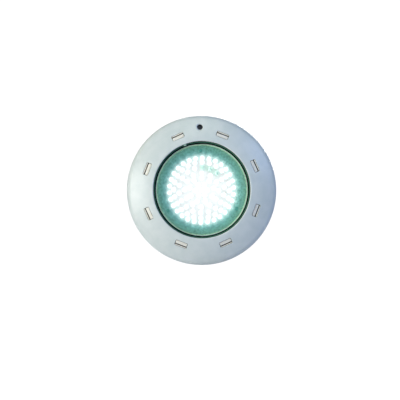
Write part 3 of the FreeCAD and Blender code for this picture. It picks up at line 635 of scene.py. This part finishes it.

# %% [markdown]
# The lamps are round-topped clear epoxy lamps, soldered in rings. Each is a small turned shape
# with a collar. All but three are lit: their epoxy glows, so it's a bright emitter. The three
# at the top of the third ring are unlit, but they carry a faint painted glow.

# %% Lamps
BOARD_TOP = 35.6
THIRD_RING = 44.0
LAMP_STEP = 20
DARK_START, DARK_LAMPS = 46, 3
DARK_SPAN = LAMP_STEP * DARK_LAMPS
EDGE_RING_LAMPS, EDGE_RING_START = 30, 3
lamp_profile = np.concatenate([
    [(0, 0), (4.0, 0), (4.0, 0.9), (3.75, 1.0), (3.75, 2.4)],
    arc((3.75, 2.4), (0, 6.15), 3.75, 7)[1:]])
lamp_profile[-1] = (0, 6.15)
lamp_rings = {  # radius, count, first angle and span in degrees
    "leds_outer": (62.5, EDGE_RING_LAMPS, EDGE_RING_START, 360),
    "leds_second": (54.0, 24, 12, 360),
    "leds_third": (THIRD_RING, 15, DARK_START + DARK_SPAN, 360 - DARK_SPAN),
    "leds_unlit": (THIRD_RING, DARK_LAMPS, DARK_START, DARK_SPAN),
    "leds_fourth": (33.0, 12, 27, 360), "leds_fifth": (23.5, 9, 7, 360),
    "leds_sixth": (11.5, 6, 0, 360), "led_centre": (0.0, 1, 0, 360)}
lit, tree, shader = finish("epoxy_lamp_lit", "#f4fbff", Roughness=0.2, IOR=1.5,
                           Emission_Strength=1.15)
shader.inputs["Emission Color"].default_value = linear("#f6fdff")
# Painted glow: the dark lamps send out a faint light in their own colour, though they are off.
dark = grained("epoxy_lamp_dark_painted_glow", "#bccfc9", "#d3e2dd", "#bdcfc9", 3, glows=True,
               Roughness=0.15, IOR=1.5, Emission_Strength=0.3)
for node, (ring_radius, count, start, span) in lamp_rings.items():
    grids = []
    for step in range(count):
        angle = math.radians(start + span * step / count)
        centre = (ring_radius * math.cos(angle), ring_radius * math.sin(angle))
        grids.append(lathe(lamp_profile + (0, BOARD_TOP), 20, centre=centre))
    slot, material = ("led_dark", dark) if node == "leds_unlit" else ("led_lit", lit)
    coat(piece(f"{node}_lamps", grids, "lamp_unit", node), material)

# %% [markdown]
# Behind the lens, a cone of pale sage-green plastic hides the edge of the lamp board. The lamps'
# light on it is painted: a glow that is bluer and brighter near them and greener towards the
# gasket.

# %% Trim cone and its push rivets
sage, tree, shader = finish("pp_sage_green_painted_glow", "#7fb3a4", Roughness=0.6, IOR=1.49,
                            Emission_Strength=0.5)
place = add(tree, "ShaderNodeTexCoord")
distance, angle = about_axis(tree, place)
# Painted light: the glow's edge is scalloped, reaching further out at each lamp of the outer ring.
edge = calculate(tree, "ADD", distance, wave(tree, angle, EDGE_RING_LAMPS, EDGE_RING_START,
                                             1.1 * MM, -1.1 * MM))
stops = [(65, "#eaf6f7"), (67.5, "#cfe6e7"), (70, "#9fcccb"), (73, "#79b2b0"), (77, "#69a59d"),
         (84, "#659b8c"), (88, "#6d9f88")]
ramp = ring_colours(tree, edge, stops)
# Painted highlight: the cone's lip by the gasket glows as a paler green line.
lip = add(tree, "ShaderNodeMapRange", links={0: distance}, From_Min=85.4 * MM, From_Max=86.8 * MM)
ramp = add(tree, "ShaderNodeMix", {"data_type": "RGBA"}, {0: lip.outputs[0], 6: ramp.outputs[0]})
ramp.inputs[7].default_value = linear("#bedab6")
grain = add(tree, "ShaderNodeTexNoise", links={"Vector": place.outputs["Object"]},
            Scale=1 / (3.6 * MM), Detail=4.0)
mottle = add(tree, "ShaderNodeMapRange", links={0: grain.outputs[0]}, From_Min=0.3, From_Max=0.7,
             To_Min=0.7, To_Max=1.38)
speckled = scaled(tree, ramp.outputs[2], mottle.outputs[0])
# The painted glow's colour, at 0.35 of its strength, is also the cone's base colour.
tree.links.new(scaled(tree, speckled, 0.35), shader.inputs["Base Color"])
tree.links.new(speckled, shader.inputs["Emission Color"])
dress("trim_ring", sage)
# The push rivets carry a faint painted glow, though they are no lamps.
teal = grained("nylon_teal_painted_glow", "#3f7771", "#52908a", "#437c76", 1.5, glows=True,
               Roughness=0.5, IOR=1.53, Emission_Strength=0.4)
dress("trim_rivets", teal)

# %% Lamp board: white solder mask, with the lamps' light painted on as a glow
# The painted wash is weaker between the lamps of a ring, and round the dark lamps painted shade
# dulls it.
# The whole board glows: the lamps' light on it is painted as emission.
board, tree, shader = finish("solder_mask_white_painted_lamp_wash", "#8e9292", Roughness=0.35, IOR=1.5,
                             Emission_Strength=0.85)
place = add(tree, "ShaderNodeTexCoord")
distance, angle = about_axis(tree, place)
# Painted light: the wash's edge is scalloped, reaching further out at each lamp of the outer ring.
edge = calculate(tree, "ADD", distance, wave(tree, angle, EDGE_RING_LAMPS, EDGE_RING_START,
                                             1.2 * MM, -1.2 * MM))
ramp = ring_colours(tree, edge, [(0, "#fff2f8"), (30, "#fbebf2"), (54, "#e4d8de"), (61, "#dbe1e3"),
                                 (66, "#c0d3d5"), (72, "#82b2ae")])
# Painted shade: the wash dims a little between the lamps, 24 times a turn.
painted_spoke_shade = wave(tree, angle, 24, 0, 0.93, 1.03)
# Painted shade: round the three dark lamps the wash gives way to a dull grey-green patch.
in_ring = near(tree, distance, THIRD_RING * MM, 3.5 * MM, 8 * MM)
dark_middle = math.radians(DARK_START + (DARK_SPAN - LAMP_STEP) / 2)
in_arc = near(tree, angle, dark_middle, math.radians(20), math.radians(32))
painted_dull_patch = calculate(tree, "MULTIPLY", in_ring, in_arc)
painted_lamp_wash = scaled(tree, ramp.outputs[0], painted_spoke_shade)
blend = add(tree, "ShaderNodeMix", {"data_type": "RGBA"}, {0: painted_dull_patch, 6: painted_lamp_wash})
blend.inputs[7].default_value = linear("#c9dad3")
tree.links.new(blend.outputs[2], shader.inputs["Emission Color"])
dress("led_board", board)

# %% [markdown]
# What is left keeps its CAD shape. The housing and the bracket are moulded from the same white
# ABS as the ring, with a slightly rougher skin. The rest is nylon, brass, stainless steel,
# aluminium and the parts of the driver.

# %% Finishes of the CAD nodes
moulded = grained("abs_moulded_white", "#dfe7e3", "#e1e9e5", "#dbe3df", 4,
                  (1.0, 0.03, 0.38, 0.5), Roughness=0.42, IOR=1.53)
black = grained("nylon_glass_filled_black", "#151b19", "#1d2422", "#0f1413", 2,
                (0.5, 0.02, 0.45, 0.6), Roughness=0.5, IOR=1.53)
grey = grained("nylon_grey", "#6c7174", "#74797c", "#62676a", 3,
               (0.5, 0.02, 0.4, 0.52), Roughness=0.45, IOR=1.53)
steel = grained("stainless_steel_turned", "#c6c9ca", "#cdd0d1", "#b4b8ba", 1.5,
                (0.3, 0.004, 0.22, 0.36), Metallic=1.0, Roughness=0.28)
brass = grained("brass_turned", "#c6a35a", "#cfae66", "#b28f48", 1.5,
                (0.3, 0.004, 0.25, 0.4), Metallic=1.0, Roughness=0.3)
aluminium = grained("aluminium_milled", "#bfc2c4", "#c6c9cb", "#b2b6b8", 4,
                    (0.6, 0.01, 0.3, 0.42), Metallic=1.0, Roughness=0.35)
silicone = grained("silicone_pad_grey", "#8d9092", "#989b9d", "#808385", 1,
                   Roughness=0.7, IOR=1.41)
mask = grained("solder_mask_green", "#1f5a38", "#256440", "#194c2f", 2, Roughness=0.3, IOR=1.5)
ferrite = grained("ferrite_core", "#26272a", "#303135", "#1d1e20", 0.8, Roughness=0.6, IOR=1.5)
epoxy = grained("epoxy_moulded_black", "#121212", "#181818", "#0d0d0d", 0.8,
                Roughness=0.4, IOR=1.55)
terminal = grained("polyamide_green", "#2f7d49", "#35874f", "#286e40", 1.5,
                   Roughness=0.4, IOR=1.53)
finishes = {
    moulded: ["rear_housing", "wall_bracket"],
    black: ["clamp_ring", "screw_sleeve"],
    grey: ["gland_body", "gland_locknut", "gland_ferrule", "gland_nut"],
    rubber: ["gland_oring", "gland_seal"],
    steel: ["pivot_pin", "pin_clips", "lock_screw", "screw_washer", "clamp_screws", "board_screws"],
    brass: ["bracket_insert", "standoffs", "link_pins"],
    aluminium: ["heat_sink", "driver_capacitors"],
    silicone: ["thermal_pad"], mask: ["driver_board"], ferrite: ["driver_inductor"],
    epoxy: ["driver_rectifier"], terminal: ["terminal_block"]}
for material, nodes in finishes.items():
    for node in nodes:
        dress(node, material)
print("dressed", sum(len(nodes) for nodes in finishes.values()), "CAD nodes")

# %% [markdown]
# The studio is a white room: a soft key lamp on the left, weaker ones above, on the right and
# behind, and a floor. Room and floor look white to the eye but light the object less than that.

# %% Studio
LIGHT_SIZE = 1.4


def area_light(name, place, power, colour):
    """A square soft lamp at a place, turned to the origin, power in watts."""
    data = bpy.data.lights.new(name, "AREA")
    data.energy = power
    data.size = LIGHT_SIZE
    data.color = linear(colour)[:3]
    lamp = bpy.data.objects.new(name, data)
    bpy.context.collection.objects.link(lamp)
    lamp.location = place
    direction = -np.array(place)
    flat = math.hypot(direction[0], direction[1])
    lamp.rotation_euler = (math.atan2(flat, -direction[2]), 0,
                           math.atan2(direction[1], direction[0]) - math.pi / 2)


area_light("key_left", (-2.2, -1.5, 0.2), 45, "#fffefa")
area_light("top_soft", (0.2, -1.4, 2.2), 14, "#faffdd")
area_light("fill_right", (2.0, -1.3, 1.2), 25, "#a7c2ff")
area_light("back_soft", (0.4, 2.4, 0.9), 34, "#ffffff")

# %% World: white to the camera, dim and bluish to the object
world = bpy.data.worlds.new("studio")
world.use_nodes = True
bpy.context.scene.world = world
tree = world.node_tree
background = tree.nodes["Background"]
ray = add(tree, "ShaderNodeLightPath")
strength = add(tree, "ShaderNodeMapRange", links={0: ray.outputs["Is Camera Ray"]},
               To_Min=0.12, To_Max=1.1)
tint = add(tree, "ShaderNodeMix", {"data_type": "RGBA"}, {0: ray.outputs["Is Camera Ray"]})
tint.inputs[6].default_value = linear("#d5e1ff")
tint.inputs[7].default_value = linear("#ffffff")
tree.links.new(tint.outputs[2], background.inputs["Color"])
tree.links.new(strength.outputs[0], background.inputs["Strength"])

# %% Floor
FLOOR_HEIGHT, FLOOR_REACH, FLOOR_LINES = -0.55, 8, 9
steps = np.linspace(-FLOOR_REACH, FLOOR_REACH, FLOOR_LINES)
x, y = np.meshgrid(steps, steps, indexing="ij")
floor_points = np.stack([x, y, np.full_like(x, FLOOR_HEIGHT)], axis=-1).reshape(-1, 3)
index = np.arange(FLOOR_LINES ** 2).reshape(FLOOR_LINES, FLOOR_LINES)
floor_faces = np.stack([index[:-1, :-1], index[1:, :-1], index[1:, 1:], index[:-1, 1:]],
                       axis=-1).reshape(-1, 4)
floor_mesh = bpy.data.meshes.new("studio_floor")
floor_mesh.from_pydata(floor_points.tolist(), [], floor_faces.tolist())
floor = bpy.data.objects.new("studio_floor", floor_mesh)
bpy.context.collection.objects.link(floor)
paper, tree, shader = finish("studio_paper", "#d6d8dc", Roughness=0.8)
ray = add(tree, "ShaderNodeLightPath")
shader.inputs["Emission Color"].default_value = linear("#ffffff")
tree.links.new(ray.outputs["Is Camera Ray"], shader.inputs["Emission Strength"])
coat(floor, paper)

# %% Colours are shown as they are
view = bpy.context.scene.view_settings
view.view_transform = "Standard"
view.look = "None"
view.exposure = 0.0
view.gamma = 1.0
